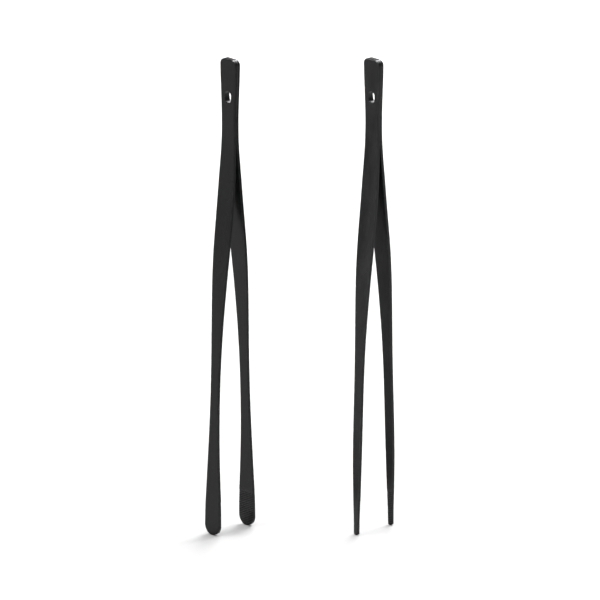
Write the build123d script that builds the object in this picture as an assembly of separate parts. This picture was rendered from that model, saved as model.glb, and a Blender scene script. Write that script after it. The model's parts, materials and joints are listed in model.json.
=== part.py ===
from build123d import *
from math import cos, radians, sin
import os

# Two long spring-steel aquascaping tweezers: one with rounded paddle tips, one with slim pointed tips.
#
# Each tool is two mirrored leaves that lie flat together at the head, where a weld along the rim joins them.
# Below the head the leaves curve apart. +Z is up, X is the width of a leaf, and the leaves are squeezed
# together along Y. The tools stand tips down, and the origin is on the ground midway between them.
# A leaf is one bent strip. It is cut across at the point it bends about, so that its lower part can move.

os.makedirs("parts", exist_ok=True)

# Driving dimensions, in millimetres. A depth is measured down from the top of the head.
LENGTH = 300.0
LEAF_THICKNESS = 2.1
TOOL_SPACING = 87.45
SPACING_ANGLE = 45.0  # degrees from X to the line that joins the two tools

# Width of a leaf, as (depth, width), from below the corners of the head to where the two shapes part.
HEAD_CORNER_RADIUS = 3.4
HEAD_WIDTH = 13.3
BODY_WIDTHS = [
    (HEAD_CORNER_RADIUS, HEAD_WIDTH),
    (14.0, 12.6),
    (41.0, 10.7),
    (75.0, 12.6),
    (100.0, 13.1),
    (127.0, 12.2),
    (163.0, 8.9),
    (199.0, 6.6),
]
PADDLE_WIDTHS = [(217.0, 6.55), (235.0, 7.3), (262.0, 9.7), (283.0, 12.0)]
PADDLE_END_WIDTH = 12.4
PADDLE_END_LENGTH = 6.4
POINTED_WIDTHS = [(217.0, 6.4), (241.0, 6.3), (262.0, 5.6), (280.0, 4.35)]
POINTED_END_WIDTH = 3.2
POINTED_END_LENGTH = 1.2

# Distance of a leaf's inner face from the middle plane, as (depth, distance). The leaves touch down to
# SPLIT_DEPTH, and the last GRIP_LENGTH of each is flat.
SPLIT_DEPTH = 45.0
HINGE_DEPTH = 73.0
HINGE_OFFSET = 1.35
GRIP_LENGTH = 23.0
GRIP_TOP_OFFSET = 13.5
GRIP_END_OFFSET = 13.7
SPREAD = [
    (SPLIT_DEPTH, 0.0),
    (HINGE_DEPTH, HINGE_OFFSET),
    (95.0, 3.3),
    (120.0, 6.2),
    (145.0, 8.5),
    (180.0, 10.6),
    (230.0, 12.5),
    (LENGTH - GRIP_LENGTH, GRIP_TOP_OFFSET),
]

# Hanging slot through both leaves, with round ends.
SLOT_DEPTH = 23.9  # of its centre
SLOT_WIDTH = 5.3
SLOT_HEIGHT = 7.4

# Fine cross grooves on the flat gripping faces.
GROOVE_PITCH = 1.15
GROOVE_DEPTH = 0.25
GROOVE_MARGIN = 1.0  # plain steel left above the tip's end

# Weld along the rim where the two leaves meet, ground flush.
WELD_WIDTH = 0.8
WELD_DEPTH = 0.5
WELD_END_DEPTH = 36.0

EDGE_RADIUS = 0.35
HINGE_CLEARANCE = 0.06


def z_at(depth):
    """Height above the ground of a point at this depth below the top of the head."""
    return LENGTH - depth


def leaf_outline(tip_widths, end_width, end_length, inset=0.0):
    """The outline of a leaf seen square on, as a face in the XZ plane, all round this far inside its rim."""
    stations = BODY_WIDTHS + tip_widths + [(LENGTH - end_length, end_width)]
    shoulder = HEAD_WIDTH / 2 - HEAD_CORNER_RADIUS
    top = Line((0, LENGTH - inset), (shoulder, LENGTH - inset))
    corner = CenterArc((shoulder, z_at(HEAD_CORNER_RADIUS)), HEAD_CORNER_RADIUS - inset, 0, 90)
    side = Spline(
        [(width / 2 - inset, z_at(depth)) for depth, width in stations],
        tangents=[(0, -1), (0, -1)],
    )
    end = EllipticalCenterArc(
        (0, end_length), end_width / 2 - inset, end_length - inset, start_angle=-90, arc_size=90
    )
    half = Curve() + [top, corner, side, end]
    return Plane.XZ * make_face(half + mirror(half, Plane.YZ))


def leaf_band():
    """The front leaf seen from the side, as a band wider than the leaf: a strip of constant thickness."""
    inner = [(-offset, z_at(depth)) for depth, offset in SPREAD]
    grip_slope = (GRIP_END_OFFSET - GRIP_TOP_OFFSET) / GRIP_LENGTH
    straight = Line((0, LENGTH), inner[0])
    bend = Spline(inner, tangents=[(0, -1), (-grip_slope, -1)])
    grip = Line(inner[-1], (-GRIP_END_OFFSET, 0))
    inside = Curve() + [straight, bend, grip]
    outside = Pos(-LEAF_THICKNESS, 0) * inside
    top = Line((0, LENGTH), (-LEAF_THICKNESS, LENGTH))
    bottom = Line((-GRIP_END_OFFSET, 0), (-GRIP_END_OFFSET - LEAF_THICKNESS, 0))
    profile = make_face(inside + outside + [top, bottom])
    return extrude(Plane.YZ * profile, HEAD_WIDTH, both=True)


def grip_grooves():
    """V grooves across the gripping face of the front leaf."""
    count = int((GRIP_LENGTH - 2 * GROOVE_MARGIN) / GROOVE_PITCH)
    mouth = GROOVE_PITCH / 2
    grooves = []
    for index in range(count):
        height = GROOVE_MARGIN + (index + 0.5) * GROOVE_PITCH
        share = height / GRIP_LENGTH
        face = -(GRIP_END_OFFSET + (GRIP_TOP_OFFSET - GRIP_END_OFFSET) * share)
        corners = [(face - GROOVE_DEPTH, height), (face + GROOVE_DEPTH, height - mouth)]
        corners.append((face + GROOVE_DEPTH, height + mouth))
        triangle = make_face(Polyline(*corners, close=True))
        grooves.append(extrude(Plane.YZ * triangle, HEAD_WIDTH, both=True))
    return grooves


def hanging_slot():
    """The slot, as a solid through both leaves."""
    shape = Rot(0, 0, 90) * SlotOverall(SLOT_HEIGHT, SLOT_WIDTH)
    place = Plane.XZ * Pos(0, z_at(SLOT_DEPTH)) * shape
    return extrude(place, 2 * LEAF_THICKNESS, both=True)


def all_above(depth):
    """Everything higher than this depth, as a box."""
    box = Box(LENGTH, LENGTH, LENGTH, align=(Align.CENTER, Align.CENTER, Align.MIN))
    return Pos(0, 0, z_at(depth)) * box


def weld_bead(outline, inner_outline):
    """The U-shaped weld that fills a groove in the rim of the head, half in each leaf."""
    head = extrude(outline, WELD_WIDTH / 2, both=True) & all_above(WELD_END_DEPTH)
    return head - extrude(inner_outline, WELD_WIDTH, both=True)


def hinge_rod(radius):
    """A rod along the line that the front leaf bends about, in the middle of its thickness."""
    middle = -(HINGE_OFFSET + LEAF_THICKNESS / 2)
    return Pos(0, middle, z_at(HINGE_DEPTH)) * Rot(0, 90, 0) * Cylinder(radius, 2 * HEAD_WIDTH)


def split_leaf(leaf):
    """The root above the bending line, with a hollow end, and the arm below it, with a round end."""
    above = all_above(HINGE_DEPTH)
    root = (leaf & above) - hinge_rod(LEAF_THICKNESS / 2 + HINGE_CLEARANCE)
    arm = (leaf - above) + (leaf & hinge_rod(LEAF_THICKNESS / 2))
    return root, arm


def front_leaf(outline, bead):
    """The front leaf, with its slot, its weld groove, its gripping face and its rounded outer edges."""
    leaf = extrude(outline, LENGTH / 2, both=True) & leaf_band()
    outer = max(leaf.faces(), key=lambda face: face.area if face.normal_at().Y < 0 else 0)
    leaf = fillet(outer.edges(), EDGE_RADIUS)
    return leaf - bead - hanging_slot() - grip_grooves()


def write_tool(name, place, *tip):
    """Writes one tool's five pieces, at its place in the set. The tip is what leaf_outline takes."""
    outline = leaf_outline(*tip)
    bead = weld_bead(outline, leaf_outline(*tip, inset=WELD_DEPTH))
    root, arm = split_leaf(front_leaf(outline, bead))
    pieces = {
        "front_leaf_root": root,
        "front_leaf_arm": arm,
        "rear_leaf_root": mirror(root, Plane.XZ),
        "rear_leaf_arm": mirror(arm, Plane.XZ),
        "head_weld": bead,
    }
    for piece, shape in pieces.items():
        export_step(place * shape, f"parts/{name}_{piece}.step")


half_x = TOOL_SPACING / 2 * cos(radians(SPACING_ANGLE))
half_y = TOOL_SPACING / 2 * sin(radians(SPACING_ANGLE))
write_tool("paddle", Pos(-half_x, -half_y, 0), PADDLE_WIDTHS, PADDLE_END_WIDTH, PADDLE_END_LENGTH)
write_tool("pointed", Pos(half_x, half_y, 0), POINTED_WIDTHS, POINTED_END_WIDTH, POINTED_END_LENGTH)
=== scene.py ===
import json
from math import cos, hypot, pi, radians, sin, sqrt

import bmesh
import bpy
import numpy as np
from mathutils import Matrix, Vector
from mathutils.bvhtree import BVHTree


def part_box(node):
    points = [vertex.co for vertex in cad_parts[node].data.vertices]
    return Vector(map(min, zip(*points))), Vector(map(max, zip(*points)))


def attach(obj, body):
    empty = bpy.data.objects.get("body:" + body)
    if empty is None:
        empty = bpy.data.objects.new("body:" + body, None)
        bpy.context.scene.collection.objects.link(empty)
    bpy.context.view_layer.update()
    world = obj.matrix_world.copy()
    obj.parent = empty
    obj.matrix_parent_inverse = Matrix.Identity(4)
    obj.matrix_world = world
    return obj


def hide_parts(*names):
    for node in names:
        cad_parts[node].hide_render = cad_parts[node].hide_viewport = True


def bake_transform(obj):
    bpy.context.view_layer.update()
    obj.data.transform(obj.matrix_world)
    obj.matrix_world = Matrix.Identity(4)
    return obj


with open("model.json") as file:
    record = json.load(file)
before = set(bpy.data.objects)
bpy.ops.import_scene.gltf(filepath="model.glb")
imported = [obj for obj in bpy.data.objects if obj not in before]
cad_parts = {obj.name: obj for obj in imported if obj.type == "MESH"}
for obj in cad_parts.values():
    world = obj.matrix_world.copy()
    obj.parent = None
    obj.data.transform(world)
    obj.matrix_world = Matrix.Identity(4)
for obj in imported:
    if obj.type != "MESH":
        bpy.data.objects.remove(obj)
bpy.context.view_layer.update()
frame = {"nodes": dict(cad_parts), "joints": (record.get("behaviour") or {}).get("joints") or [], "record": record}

# Looks for two long black spring tweezers. Each leaf is one continuous piece of spring steel here: it
# takes its outline and its bend from the CAD leaf's faces, running unbroken across the place where the CAD leaf is
# hinged.
# Everything is in metres. Across is X, a leaf's thickness is along Y, and the tools stand along Z.

MM = 0.001
TOOLS = ("paddle", "pointed")
SIDES = {"front": -1, "rear": 1}

# Details that the CAD leaves also have.
HEAD_CORNER_RADIUS = 3.4 * MM
END_LENGTH = {"paddle": 6.4 * MM, "pointed": 1.2 * MM}
SLOT_WIDTH = 5.3 * MM
SLOT_HEIGHT = 7.4 * MM
GRIP_LENGTH = 23.0 * MM
GROOVE_PITCH = 1.15 * MM
GROOVE_DEPTH = 0.25 * MM
GROOVE_MARGIN = 1.0 * MM
GROOVE_COUNT = int((GRIP_LENGTH - 2 * GROOVE_MARGIN) / GROOVE_PITCH)
WELD_WIDTH = 0.8 * MM
WELD_DEPTH = 0.5 * MM
WELD_END_DEPTH = 36.0 * MM

# The weld bead stands a hair proud of the rim, with a faint ripple along it.
WELD_CROWN = 0.05 * MM
WELD_SHOULDER = 0.02 * MM
WELD_RIPPLE = 0.015 * MM
WELD_RIPPLE_PITCH = 1.3 * MM
WELD_RIPPLE_SWELL = 3.0 * MM  # how slowly the ripple grows and shrinks along the bead
WELD_FADE = 3.0 * MM  # over which the bead dies away at its ends

# Edges: broken well on the outside of a leaf, only just on the inside.
OUTER_RADIUS = 0.35 * MM
SLOT_RADIUS = 0.12 * MM
INNER_RADIUS = 0.12 * MM
ROUND_STEPS = 5

# How far the coating is rubbed on the inner edges and on the crests of the grip, where 1 is the most.
CREST_WEAR = 0.35

# Measuring the CAD leaves, by rays cast at them from farther out than any of their points.
STATIONS = 37
FAR_AWAY = 50.0 * MM
END_CLEARANCE = 1.0 * MM
CUT_CLEARANCE = 1.5 * MM
SLOPE_STEP = 0.1 * MM

# Mesh density.
COLUMNS = 16
ROW_STEP = 2.0 * MM
CORNER_STEPS = 14
SLOT_PATCH_HALF_HEIGHT = 6.2 * MM
SLOT_PATCH_COLUMNS = 2  # columns left between the patch round the slot and the rim
SLOT_PATCH_RINGS = 3
SLOT_PATCH_SLACK = 0.5 * MM
WELD_STEP = 0.3 * MM
WELD_END_TAPER = 0.1 * MM  # either side of the weld's end, to the row above and the row below
WELD_ARC_POINTS = 9
SHARP_ANGLE = 38.0  # degrees between faces, above which an edge stays sharp

# The black coating: its colours, its finish, and how often each pattern varies per millimetre, as
# (across, through the thickness, along).
COAT_DARK = (0.0055, 0.0055, 0.0057)
COAT_LIGHT = (0.0085, 0.0085, 0.0088)
COAT_RUBBED = (0.05, 0.05, 0.052)
COAT_ROUGHNESS = 0.22
COAT_SPECULAR = 0.19
BRUSHING = (9.0, 9.0, 0.12)
BRUSHING_DETAIL = 3.0
BRUSHING_HEIGHT = 0.004 * MM
BRUSHING_STRENGTH = 0.3
BRUSHING_ROUGHNESS = 0.03  # either side of the coat's own
COAT_GRAIN = (14.0, 14.0, 14.0)
COAT_GRAIN_DETAIL = 2.0
COAT_GRAIN_HEIGHT = 0.003 * MM
COAT_GRAIN_STRENGTH = 0.25
CLOUDING = (0.12, 0.12, 0.05)
CLOUDING_DETAIL = 4.0
CLOUDING_ROUGHNESS = 0.03
WEAR_PATCHES = (0.5, 0.5, 0.22)
WEAR_PATCHES_DETAIL = 3.0
WEAR_START = 0.42
WEAR_STOP = 0.68
WEAR_LIMIT = 0.6
WEAR_POLISH = 0.1

WELD_ROUGHNESS = 0.36
WELD_GRINDING = (1.5, 1.5, 11.0)
WELD_GRINDING_DETAIL = 3.0
WELD_GRINDING_STRENGTH = 0.35
WELD_GRINDING_ROUGHNESS = 0.05
WELD_PITTING = (6.0, 6.0, 6.0)
WELD_PITTING_DETAIL = 4.0
WELD_PIT_HEIGHT = 0.006 * MM
WELD_PIT_STRENGTH = 0.4

# Most of a noise pattern's values lie between these two.
NOISE_LOW = 0.3
NOISE_HIGH = 0.7

# Places of a Mix node's color sockets, which share their names with its other kinds of socket.
MIX_SHARE = 0
MIX_FIRST_COLOR = 6
MIX_SECOND_COLOR = 7
MIX_RESULT_COLOR = 2

# The studio, in metres and watts: soft boxes as (name, place, width, height, power). The one behind is
# wide and high, for the highlight on the rounded corners of the heads.
FLOOR_REACH = 1.3
FLOOR_TONE = 0.52
FLOOR_ROUGHNESS = 0.9
SURROUNDINGS_STRENGTH = 0.3
BELOW_HORIZON_STRENGTH = 0.7  # as if the floor went on
HORIZON_BLUR = 0.02
LIT_POINT = (0.0, 0.0, 0.15)
SOFT_BOXES = [
    ("overhead", (0.0, 0.0, 2.5), 2.5, 2.5, 70.0),
    ("back", (-0.5, 1.9, 1.75), 2.2, 0.9, 100.0),
    ("front", (-1.2, -2.4, 2.2), 1.5, 1.5, 45.0),
]

# A fill for the pointed tool's front leaf and weld alone. No light in a room falls on one piece only: this
# is here because that leaf would otherwise mirror the dark paddle tool.
FILL = ("fill", (-0.9, -1.7, 1.1), 1.2, 1.2, 105.0)
FILLED_TOOL = "pointed"
FILLED_SIDE = "front"

# The camera looks between the front and the right side, from a little above, with no perspective.
CAMERA_AZIMUTH = 45.0  # degrees
CAMERA_ELEVATION = 17.0
CAMERA_DISTANCE = 2.0
CAMERA_VIEW_WIDTH = 0.3656
CAMERA_AIM_HEIGHT = 0.1464
CAMERA_AIM_ASIDE = -1.19 * MM


def mount(name):
    """Place of one of the record's mounts."""
    return next(Vector(m["pos_m"]) for m in frame["record"]["mounts"] if m["name"] == name)


def hinge(tool, side):
    """Place of the joint that lets one leaf's arm move."""
    return next(Vector(j["pos_m"]) for j in frame["joints"] if j["name"] == f"{tool}_{side}_flex")


def smooth_curve(heights, values):
    """A function that runs smoothly through values known at these rising heights."""
    slopes = np.gradient(values, heights)

    def at(height):
        low = int(np.clip(np.searchsorted(heights, height) - 1, 0, len(heights) - 2))
        span = heights[low + 1] - heights[low]
        t = (height - heights[low]) / span
        start = (1 + 2 * t) * (1 - t) ** 2 * values[low] + t * (1 - t) ** 2 * span * slopes[low]
        end = t * t * (3 - 2 * t) * values[low + 1] - t * t * (1 - t) * span * slopes[low + 1]
        return start + end

    return at


def leaf_tree(tool, side):
    """The two CAD nodes of one leaf, ready for rays to be cast at."""
    corners = []
    faces = []
    for part in ("root", "arm"):
        mesh = frame["nodes"][f"{tool}_{side}_leaf_{part}"].data
        first = len(corners)
        corners += [vertex.co for vertex in mesh.vertices]
        faces += [[first + i for i in face.vertices] for face in mesh.polygons]
    return BVHTree.FromPolygons(corners, faces)


class Leaf:
    """One leaf's measured shape: its half width and the place of its outer face, at any height."""

    def __init__(self, tool, side):
        self.sign = SIDES[side]
        self.slot = mount(f"{tool}_hang_slot")
        self.cut = hinge(tool, side).z
        self.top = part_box(f"{tool}_{side}_leaf_root")[1].z
        self.thickness = abs(mount(f"{tool}_{side}_head_face").y - self.slot.y)
        self.end_length = END_LENGTH[tool]
        self.shoulder = self.top - HEAD_CORNER_RADIUS
        tree = leaf_tree(tool, side)
        self.outer_distance = self.measured_bend(tree)
        self.half_width = self.measured_outline(tree)

    def stations(self, lowest, highest):
        """Heights to measure at, clear of the cut that the CAD arm turns in."""
        heights = np.linspace(lowest, highest, STATIONS)
        return [z for z in heights if abs(z - self.cut) > CUT_CLEARANCE]

    def measured_bend(self, tree):
        """Distance of the outer face from the tool's middle plane, by height."""
        heights = self.stations(END_CLEARANCE, self.top - END_CLEARANCE)
        heights = [z for z in heights if abs(z - self.slot.z) > SLOT_HEIGHT / 2]
        distances = []
        for z in heights:
            start = Vector((self.slot.x, self.slot.y + self.sign * FAR_AWAY, z))
            hit = tree.ray_cast(start, Vector((0, -self.sign, 0)))[0]
            distances.append(abs(hit.y - self.slot.y))
        return smooth_curve(heights, distances)

    def measured_outline(self, tree):
        """Half width by height, between the end and the corners of the head."""
        heights = self.stations(self.end_length, self.shoulder)
        widths = []
        for z in heights:
            middle = self.outer_distance(z) - self.thickness / 2
            start = Vector((self.slot.x + FAR_AWAY, self.slot.y + self.sign * middle, z))
            hit = tree.ray_cast(start, Vector((-1, 0, 0)))[0]
            widths.append(hit.x - self.slot.x)
        return smooth_curve(heights, widths)

    def place(self, x, z, depth):
        """The point this far across, this high and this deep below the outer face."""
        distance = self.outer_distance(z) - depth
        return Vector((self.slot.x + x, self.slot.y + self.sign * distance, z))


class Rim:
    """A point on the rim of a leaf: its place square on, the way out of the steel, and its row's groove."""

    def __init__(self, x, z, out_x, out_z, groove=0.0, welded=False):
        length = hypot(out_x, out_z)
        self.x = x
        self.z = z
        self.out = (out_x / length, out_z / length)
        self.groove = groove
        self.welded = welded

    def inset(self, distance):
        """The point this far inside the rim."""
        return self.x - distance * self.out[0], self.z - distance * self.out[1]


def groove_at(height):
    """Depth of the cross grooves of a gripping face: a zigzag, deepest in the middle of each pitch."""
    turns = (height - GROOVE_MARGIN) / GROOVE_PITCH
    if turns < 0 or turns > GROOVE_COUNT:
        return 0.0
    return GROOVE_DEPTH * (1 - abs(2 * (turns % 1) - 1))


def row_heights(leaf):
    """Heights of the rows below the head's corners, from the top down."""
    grooves = [GROOVE_MARGIN + i * GROOVE_PITCH / 2 for i in range(2 * GROOVE_COUNT + 1)]
    weld_end = leaf.top - WELD_END_DEPTH
    slot_top = leaf.slot.z + SLOT_PATCH_HALF_HEIGHT
    slot_bottom = leaf.slot.z - SLOT_PATCH_HALF_HEIGHT
    stops = [leaf.shoulder, slot_top, slot_bottom]
    stops += [weld_end + WELD_END_TAPER, weld_end - WELD_END_TAPER, grooves[-1]]
    heights = []
    for high, low in zip(stops, stops[1:]):
        count = max(1, round((high - low) / ROW_STEP))
        heights += list(np.linspace(high, low, count + 1))[:-1]
    return heights + grooves[::-1]


def rim_rows(leaf):
    """Rim points down the leaf's right side, one per row, from the top edge to the last row."""
    centre_x = leaf.half_width(leaf.shoulder) - HEAD_CORNER_RADIUS
    rows = []
    for step in range(CORNER_STEPS):
        angle = pi / 2 * (1 - step / CORNER_STEPS)
        x = centre_x + HEAD_CORNER_RADIUS * cos(angle)
        z = leaf.shoulder + HEAD_CORNER_RADIUS * sin(angle)
        rows.append(Rim(x, z, cos(angle), sin(angle), welded=True))
    end_half_width = leaf.half_width(leaf.end_length)
    for z in row_heights(leaf):
        welded = z > leaf.top - WELD_END_DEPTH
        if z > leaf.end_length:
            rise = leaf.half_width(z + SLOPE_STEP) - leaf.half_width(z - SLOPE_STEP)
            slope = rise / (2 * SLOPE_STEP)
            rows.append(Rim(leaf.half_width(z), z, 1, -slope, groove_at(z), welded))
        else:
            rows.append(end_rim(leaf, end_half_width, z, groove_at(z)))
    return rows


def end_rim(leaf, end_half_width, z, groove=0.0):
    """The rim point at this height on the right half of the elliptical end."""
    rise = (leaf.end_length - z) / leaf.end_length
    run = sqrt(max(0.0, 1 - rise * rise))
    return Rim(end_half_width * run, z, run / end_half_width, -rise / leaf.end_length, groove)


def top_edge(leaf, last):
    """Rim points along the flat top of the head between the corners, where last is the right one's end."""
    places = np.linspace(-last.x, last.x, COLUMNS + 1)[1:-1]
    return [Rim(x, leaf.top, 0, 1, welded=True) for x in places]


def end_arc(leaf, last):
    """Rim points along the bottom of the leaf between the last row's ends, from left to right."""
    end_half_width = leaf.half_width(leaf.end_length)
    points = []
    for x in np.linspace(-last.x, last.x, COLUMNS + 1)[1:-1]:
        run = x / end_half_width
        rise = sqrt(1 - run * run)
        z = leaf.end_length * (1 - rise)
        points.append(Rim(x, z, run / end_half_width, -rise / leaf.end_length))
    return points


def mirrored(rim):
    """The same rim point on the left side."""
    return Rim(-rim.x, rim.z, -rim.out[0], rim.out[1], rim.groove, rim.welded)


def edge_profile(leaf, rim, outer_radius):
    """The rim's cross-section as (inset, depth) steps, from the outer face round to the inner face."""
    angles = [pi / 2 * step / ROUND_STEPS for step in range(ROUND_STEPS + 1)]
    outer = [(outer_radius * (1 - sin(a)), outer_radius * (1 - cos(a))) for a in angles]
    full = leaf.thickness - rim.groove
    shelf = leaf.thickness - WELD_WIDTH / 2
    if rim.welded:
        drop = WELD_WIDTH / 2 / ROUND_STEPS
        inner = [(WELD_DEPTH, shelf + drop * step) for step in range(ROUND_STEPS + 1)]
    else:
        inner = [(INNER_RADIUS * (1 - cos(a)), full - INNER_RADIUS * (1 - sin(a))) for a in angles]
    outer.append((0, shelf - rim.groove))
    return outer + inner


def join_lines(mesh, first, second, closed=False):
    """Faces between two equally long lines of vertices, where a shared vertex makes a triangle."""
    count = len(first)
    for i in range(count if closed else count - 1):
        after = (i + 1) % count
        corners = list(dict.fromkeys([first[i], first[after], second[after], second[i]]))
        if len(corners) > 2:
            mesh.faces.new(corners)


class LeafMesh:
    """Builds one leaf as a closed mesh, with the surface coordinates that its finish is laid out by."""

    def __init__(self, leaf):
        self.leaf = leaf
        self.mesh = bmesh.new()
        self.grain = self.mesh.verts.layers.float_vector.new("grain")
        self.edge = self.mesh.verts.layers.float.new("edge")

    def vertex(self, x, z, depth, edge=0.0):
        """A vertex this far across, this high and this deep, rubbed this much as an edge."""
        made = self.mesh.verts.new(self.leaf.place(x, z, depth))
        made[self.grain] = Vector((x, depth, z)) / MM
        made[self.edge] = edge
        return made

    def rings(self, rims, outer_radius):
        """Rings of vertices round the rim points, joined into a wall from outer face to inner face."""
        profiles = [edge_profile(self.leaf, rim, outer_radius) for rim in rims]
        rings = []
        for step in range(len(profiles[0])):
            ring = []
            for rim, profile in zip(rims, profiles):
                inset, depth = profile[step]
                rounding = min(step, ROUND_STEPS - step) / ROUND_STEPS * 2
                crest = CREST_WEAR if step > ROUND_STEPS + 1 and not rim.welded else 0.0
                x, z = rim.inset(inset)
                ring.append(self.vertex(x, z, depth, edge=max(0.0, rounding, crest)))
            rings.append(ring)
        for first, second in zip(rings, rings[1:]):
            join_lines(self.mesh, first, second, closed=True)
        return rings[0], rings[-1]

    def face_rows(self, right, bottom, left, top, grooves, depth):
        """Rows of vertices across a face, from the rim's left side to its right, from the top down."""
        rows = [[left[0]] + top + [right[0]]]
        for row in range(1, len(right)):
            a, b = left[row], right[row]
            x_a, x_b = a[self.grain][0], b[self.grain][0]
            z = b[self.grain][2] * MM
            deep = depth - grooves[row] if depth > 0 else 0.0
            in_grip = depth > 0 and z < GRIP_LENGTH - GROOVE_MARGIN
            crest = CREST_WEAR if in_grip and grooves[row] == 0 else 0.0
            inside = []
            for column in range(1, COLUMNS):
                x = (x_a + (x_b - x_a) * column / COLUMNS) * MM
                inside.append(self.vertex(x, z, deep, crest))
            rows.append([a] + inside + [b])
        rows.append([left[-1]] + bottom + [right[-1]])
        return rows

    def face_grid(self, rows):
        """Faces between the rows, but for a patch round the slot, whose border it returns."""
        slot = self.leaf.slot.z
        reach = SLOT_PATCH_HALF_HEIGHT + SLOT_PATCH_SLACK
        near = [i for i, row in enumerate(rows) if abs(row[0][self.grain][2] * MM - slot) < reach]
        first, last = near[0], near[-1]
        lo, hi = SLOT_PATCH_COLUMNS, COLUMNS - SLOT_PATCH_COLUMNS
        for i in range(len(rows) - 1):
            if first <= i < last:
                join_lines(self.mesh, rows[i][: lo + 1], rows[i + 1][: lo + 1])
                join_lines(self.mesh, rows[i][hi:], rows[i + 1][hi:])
            else:
                join_lines(self.mesh, rows[i], rows[i + 1])
        border = rows[first][lo:hi] + [rows[i][hi] for i in range(first, last)]
        border += rows[last][hi:lo:-1] + [rows[i][lo] for i in range(last, first, -1)]
        for i in range(first + 1, last):
            for vertex in rows[i][lo + 1 : hi]:
                self.mesh.verts.remove(vertex)
        return border

    def patch(self, border, ring, depth):
        """Rings of faces from the border of the patch in to the mouth of the slot."""
        lines = [border]
        for step in range(1, SLOT_PATCH_RINGS):
            share = step / SLOT_PATCH_RINGS
            line = []
            for far, near in zip(border, ring):
                place = far[self.grain] * (1 - share) + near[self.grain] * share
                line.append(self.vertex(place[0] * MM, place[2] * MM, depth))
            lines.append(line)
        lines.append(ring)
        for first, second in zip(lines, lines[1:]):
            join_lines(self.mesh, first, second, closed=True)


def slot_rims(leaf, border_places):
    """Rim points of the slot, one facing each point of the patch's border."""
    radius = SLOT_WIDTH / 2
    straight = SLOT_HEIGHT / 2 - radius
    rims = []
    for x, z in border_places:
        from_centre = z - leaf.slot.z
        spine = max(-straight, min(straight, from_centre))
        away_x, away_z = x, from_centre - spine
        length = hypot(away_x, away_z)
        rim_x = radius * away_x / length
        rim_z = leaf.slot.z + spine + radius * away_z / length
        rims.append(Rim(rim_x, rim_z, -away_x, -away_z))
    return rims


def build_leaf(tool, side, material):
    """One leaf, in one piece from the head to the tip."""
    leaf = Leaf(tool, side)
    work = LeafMesh(leaf)
    right = rim_rows(leaf)
    left = [mirrored(rim) for rim in right]
    top = top_edge(leaf, right[0])
    bottom = end_arc(leaf, right[-1])
    loop = left[::-1] + top + right + bottom[::-1]
    outer, inner = work.rings(loop, OUTER_RADIUS)
    count = len(right)
    grooves = [rim.groove for rim in right]
    borders = []
    for ring, depth in ((outer, 0.0), (inner, leaf.thickness)):
        left_side = ring[:count][::-1]
        top_side = ring[count : count + len(top)]
        right_side = ring[count + len(top) : 2 * count + len(top)]
        bottom_side = ring[2 * count + len(top) :][::-1]
        rows = work.face_rows(right_side, bottom_side, left_side, top_side, grooves, depth)
        borders.append(work.face_grid(rows))
    places = [(v[work.grain][0] * MM, v[work.grain][2] * MM) for v in borders[0]]
    mouth, back = work.rings(slot_rims(leaf, places), SLOT_RADIUS)
    work.patch(borders[0], mouth, 0.0)
    work.patch(borders[1], back, leaf.thickness)
    return finished(work.mesh, f"{tool}_{side}_leaf", material)


def finished(mesh, name, material):
    """A bmesh made into an object with smooth faces, sharp only where it creases."""
    bmesh.ops.recalc_face_normals(mesh, faces=mesh.faces)
    data = bpy.data.meshes.new(name)
    mesh.to_mesh(data)
    mesh.free()
    data.materials.append(material)
    data.shade_smooth()
    data.set_sharp_from_angle(angle=radians(SHARP_ANGLE))
    piece = bpy.data.objects.new(name, data)
    bpy.context.scene.collection.objects.link(piece)
    even = piece.modifiers.new("even_normals", "WEIGHTED_NORMAL")
    even.keep_sharp = True
    return piece


def weld_path(leaf):
    """Rim points along the weld, close together, from one side over the top to the other."""
    side = [rim for rim in rim_rows(leaf) if rim.welded]
    coarse = [mirrored(rim) for rim in side[::-1]] + top_edge(leaf, side[0]) + side
    fine = []
    for here, after in zip(coarse, coarse[1:]):
        span = hypot(after.x - here.x, after.z - here.z)
        count = max(1, round(span / WELD_STEP))
        for share in np.arange(count) / count:
            x = here.x + (after.x - here.x) * share
            z = here.z + (after.z - here.z) * share
            out_x = here.out[0] + (after.out[0] - here.out[0]) * share
            out_z = here.out[1] + (after.out[1] - here.out[1]) * share
            fine.append(Rim(x, z, out_x, out_z))
    return fine + [coarse[-1]]


def weld_section(run, length):
    """The bead's cross-section as (inset, across) steps at this distance along it."""
    half = WELD_WIDTH / 2
    fade = min(1.0, run / WELD_FADE, (length - run) / WELD_FADE)
    ripple = WELD_RIPPLE * sin(2 * pi * run / WELD_RIPPLE_PITCH) * sin(run / WELD_RIPPLE_SWELL)
    crown = (WELD_CROWN + ripple) * fade
    angles = np.linspace(-pi / 2, pi / 2, WELD_ARC_POINTS)[1:-1]
    arc = [(-crown * cos(angle), half * sin(angle)) for angle in angles]
    low = [(WELD_DEPTH, -half), (WELD_SHOULDER, -half)]
    return low + arc + [(inset, -across) for inset, across in low[::-1]]


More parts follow.
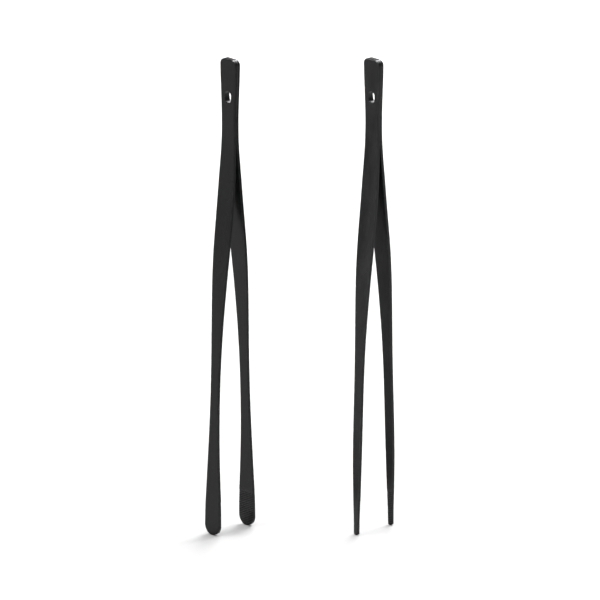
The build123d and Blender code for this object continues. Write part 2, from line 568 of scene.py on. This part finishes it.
def build_weld(tool, material):
    """The ground weld bead in the rim of the head, which joins the two leaves."""
    leaf = Leaf(tool, "front")
    path = weld_path(leaf)
    steps = [hypot(after.x - here.x, after.z - here.z) for here, after in zip(path, path[1:])]
    runs = [0.0] + list(np.cumsum(steps))
    mesh = bmesh.new()
    grain = mesh.verts.layers.float_vector.new("grain")
    mesh.verts.layers.float.new("edge")
    lines = []
    for rim, run in zip(path, runs):
        line = []
        for inset, across in weld_section(run, runs[-1]):
            x, z = rim.inset(inset)
            vertex = mesh.verts.new((leaf.slot.x + x, leaf.slot.y + across, z))
            vertex[grain] = Vector((across, -inset, run)) / MM
            line.append(vertex)
        lines.append(line)
    for first, second in zip(lines, lines[1:]):
        join_lines(mesh, first, second, closed=True)
    mesh.faces.new(lines[0])
    mesh.faces.new(lines[-1][::-1])
    return finished(mesh, f"{tool}_weld_bead", material)


class Finish:
    """A procedural material under construction, with short names for the node set-up it repeats."""

    def __init__(self, name):
        self.material = bpy.data.materials.new(name)
        self.material.use_nodes = True
        self.nodes = self.material.node_tree.nodes
        self.links = self.material.node_tree.links
        self.shader = self.nodes["Principled BSDF"]
        self.grain = self.attribute("grain").outputs["Vector"]
        self.edge = self.attribute("edge").outputs["Fac"]

    def attribute(self, name):
        """A value stored on the mesh."""
        node = self.nodes.new("ShaderNodeAttribute")
        node.attribute_name = name
        return node

    def noise(self, stretch, detail):
        """Noise over the surface coordinates, where stretch is how many times it varies per millimetre."""
        mapping = self.nodes.new("ShaderNodeMapping")
        mapping.inputs["Scale"].default_value = stretch
        self.links.new(self.grain, mapping.inputs["Vector"])
        node = self.nodes.new("ShaderNodeTexNoise")
        node.inputs["Scale"].default_value = 1.0
        node.inputs["Detail"].default_value = detail
        self.links.new(mapping.outputs["Vector"], node.inputs["Vector"])
        return node.outputs["Fac"]

    def ranged(self, value, low, high, start=NOISE_LOW, stop=NOISE_HIGH):
        """The value's stretch from start to stop, spread over low to high."""
        node = self.nodes.new("ShaderNodeMapRange")
        node.inputs["From Min"].default_value = start
        node.inputs["From Max"].default_value = stop
        node.inputs["To Min"].default_value = low
        node.inputs["To Max"].default_value = high
        self.links.new(value, node.inputs["Value"])
        return node.outputs["Result"]

    def feed(self, socket, value):
        """Gives a socket a number, a color or another node's output."""
        if isinstance(value, float):
            socket.default_value = value
        elif isinstance(value, tuple):
            socket.default_value = (*value, 1)
        else:
            self.links.new(value, socket)

    def combined(self, operation, first, second):
        """A sum, difference or product, kept between 0 and 1."""
        node = self.nodes.new("ShaderNodeMath")
        node.operation = operation
        node.use_clamp = True
        for socket, value in zip(node.inputs, (first, second)):
            self.feed(socket, value)
        return node.outputs["Value"]

    def mixed_color(self, share, first, second):
        """A color between two, where a share of 0 is all the first."""
        node = self.nodes.new("ShaderNodeMix")
        node.data_type = "RGBA"
        self.feed(node.inputs[MIX_SHARE], share)
        self.feed(node.inputs[MIX_FIRST_COLOR], first)
        self.feed(node.inputs[MIX_SECOND_COLOR], second)
        return node.outputs[MIX_RESULT_COLOR]

    def bumped(self, height, strength, distance, below=None):
        """Surface relief from this height, on top of the relief below."""
        node = self.nodes.new("ShaderNodeBump")
        node.inputs["Strength"].default_value = strength
        node.inputs["Distance"].default_value = distance
        self.links.new(height, node.inputs["Height"])
        if below:
            self.links.new(below, node.inputs["Normal"])
        return node.outputs["Normal"]

    def set(self, name, value):
        """Gives the shader this value."""
        self.feed(self.shader.inputs[name], value)


def coated_steel():
    """Satin black coating over lengthwise brushed steel, rubbed a little along the edges."""
    finish = Finish("coated_steel")
    brushing = finish.noise(BRUSHING, BRUSHING_DETAIL)
    coat_grain = finish.noise(COAT_GRAIN, COAT_GRAIN_DETAIL)
    clouding = finish.noise(CLOUDING, CLOUDING_DETAIL)
    patches = finish.noise(WEAR_PATCHES, WEAR_PATCHES_DETAIL)
    patchy = finish.ranged(patches, 0.0, WEAR_LIMIT, WEAR_START, WEAR_STOP)
    wear = finish.combined("MULTIPLY", finish.edge, patchy)
    tone = finish.mixed_color(finish.ranged(clouding, 0.0, 1.0), COAT_DARK, COAT_LIGHT)
    finish.set("Base Color", finish.mixed_color(wear, tone, COAT_RUBBED))
    streaks = finish.ranged(brushing, -BRUSHING_ROUGHNESS, BRUSHING_ROUGHNESS)
    cloudy = finish.ranged(
        clouding, COAT_ROUGHNESS - CLOUDING_ROUGHNESS, COAT_ROUGHNESS + CLOUDING_ROUGHNESS
    )
    rough = finish.combined("ADD", cloudy, streaks)
    polish = finish.combined("MULTIPLY", wear, WEAR_POLISH)
    finish.set("Roughness", finish.combined("SUBTRACT", rough, polish))
    finish.set("Specular IOR Level", COAT_SPECULAR)
    fine = finish.bumped(coat_grain, COAT_GRAIN_STRENGTH, COAT_GRAIN_HEIGHT)
    finish.set("Normal", finish.bumped(brushing, BRUSHING_STRENGTH, BRUSHING_HEIGHT, below=fine))
    return finish.material


def weld_metal():
    """The same coating over ground weld metal: coarser, cross-ground and a shade duller."""
    finish = Finish("coated_weld")
    grinding = finish.noise(WELD_GRINDING, WELD_GRINDING_DETAIL)
    pitting = finish.noise(WELD_PITTING, WELD_PITTING_DETAIL)
    finish.set("Base Color", finish.mixed_color(finish.ranged(pitting, 0.0, 1.0), COAT_DARK, COAT_LIGHT))
    smoothest = WELD_ROUGHNESS - WELD_GRINDING_ROUGHNESS
    roughest = WELD_ROUGHNESS + WELD_GRINDING_ROUGHNESS
    finish.set("Roughness", finish.ranged(grinding, smoothest, roughest))
    finish.set("Specular IOR Level", COAT_SPECULAR)
    pits = finish.bumped(pitting, WELD_PIT_STRENGTH, WELD_PIT_HEIGHT)
    finish.set("Normal", finish.bumped(grinding, WELD_GRINDING_STRENGTH, BRUSHING_HEIGHT, below=pits))
    return finish.material


def stage_floor():
    """A plain pale floor."""
    mesh = bmesh.new()
    reach = FLOOR_REACH
    places = [(-reach, -reach, 0), (reach, -reach, 0), (reach, reach, 0), (-reach, reach, 0)]
    mesh.faces.new([mesh.verts.new(place) for place in places])
    data = bpy.data.meshes.new("floor")
    mesh.to_mesh(data)
    mesh.free()
    material = bpy.data.materials.new("floor")
    material.use_nodes = True
    shader = material.node_tree.nodes["Principled BSDF"]
    shader.inputs["Base Color"].default_value = (FLOOR_TONE, FLOOR_TONE, FLOOR_TONE, 1)
    shader.inputs["Roughness"].default_value = FLOOR_ROUGHNESS
    data.materials.append(material)
    floor = bpy.data.objects.new("floor", data)
    bpy.context.scene.collection.objects.link(floor)


def soft_light(name, place, width, height, power):
    """A soft box aimed at the tools, itself out of sight."""
    light = bpy.data.lights.new(name, "AREA")
    light.shape = "RECTANGLE"
    light.size = width
    light.size_y = height
    light.energy = power
    box = bpy.data.objects.new(name, light)
    box.location = place
    box.rotation_mode = "QUATERNION"
    box.rotation_quaternion = (Vector(LIT_POINT) - Vector(place)).to_track_quat("-Z", "Y")
    box.visible_camera = False
    bpy.context.scene.collection.objects.link(box)
    return box


def surroundings():
    """White surroundings to the camera, dimmer as a light so that the black steel stays black."""
    world = bpy.data.worlds.new("studio")
    bpy.context.scene.world = world
    world.use_nodes = True
    nodes, links = world.node_tree.nodes, world.node_tree.links
    background = nodes["Background"]
    background.inputs["Color"].default_value = (1, 1, 1, 1)
    direction = nodes.new("ShaderNodeTexCoord")
    parts = nodes.new("ShaderNodeSeparateXYZ")
    links.new(direction.outputs["Generated"], parts.inputs["Vector"])
    strength = nodes.new("ShaderNodeMapRange")
    strength.inputs["From Min"].default_value = -HORIZON_BLUR
    strength.inputs["From Max"].default_value = HORIZON_BLUR
    strength.inputs["To Min"].default_value = BELOW_HORIZON_STRENGTH
    strength.inputs["To Max"].default_value = SURROUNDINGS_STRENGTH
    links.new(parts.outputs["Z"], strength.inputs["Value"])
    rays = nodes.new("ShaderNodeLightPath")
    seen = nodes.new("ShaderNodeMath")
    seen.operation = "MAXIMUM"
    links.new(strength.outputs["Result"], seen.inputs[0])
    links.new(rays.outputs["Is Camera Ray"], seen.inputs[1])
    links.new(seen.outputs["Value"], background.inputs["Strength"])


def fill_light(pieces):
    """The fill, linked so that it lights these pieces only."""
    lit = bpy.data.collections.new("filled")
    for piece in pieces:
        lit.objects.link(piece)
    soft_light(*FILL).light_linking.receiver_collection = lit


def camera():
    """The camera, aimed at the middle of the view."""
    azimuth, elevation = radians(CAMERA_AZIMUTH), radians(CAMERA_ELEVATION)
    data = bpy.data.cameras.new("camera")
    data.type = "ORTHO"
    data.ortho_scale = CAMERA_VIEW_WIDTH
    back = Vector((sin(azimuth) * cos(elevation), -cos(azimuth) * cos(elevation), sin(elevation)))
    aside = Vector((cos(azimuth), sin(azimuth), 0))
    target = Vector((0, 0, CAMERA_AIM_HEIGHT)) + CAMERA_AIM_ASIDE * aside
    made = bpy.data.objects.new("camera", data)
    made.location = target + CAMERA_DISTANCE * back
    made.rotation_mode = "QUATERNION"
    made.rotation_quaternion = (-back).to_track_quat("-Z", "Y")
    bpy.context.scene.collection.objects.link(made)
    bpy.context.scene.camera = made


steel = coated_steel()
weld = weld_metal()
filled = []
for tool in TOOLS:
    for side in SIDES:
        piece = build_leaf(tool, side, steel)
        if tool == FILLED_TOOL and side == FILLED_SIDE:
            filled.append(piece)
        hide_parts(f"{tool}_{side}_leaf_root", f"{tool}_{side}_leaf_arm")
        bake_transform(piece)
    bead = build_weld(tool, weld)
    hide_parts(f"{tool}_head_weld")
    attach(bead, f"{tool}_head")
    if tool == FILLED_TOOL:
        filled.append(bead)

stage_floor()
surroundings()
for soft_box in SOFT_BOXES:
    soft_light(*soft_box)
fill_light(filled)
camera()
bpy.context.scene.view_settings.view_transform = "Standard"
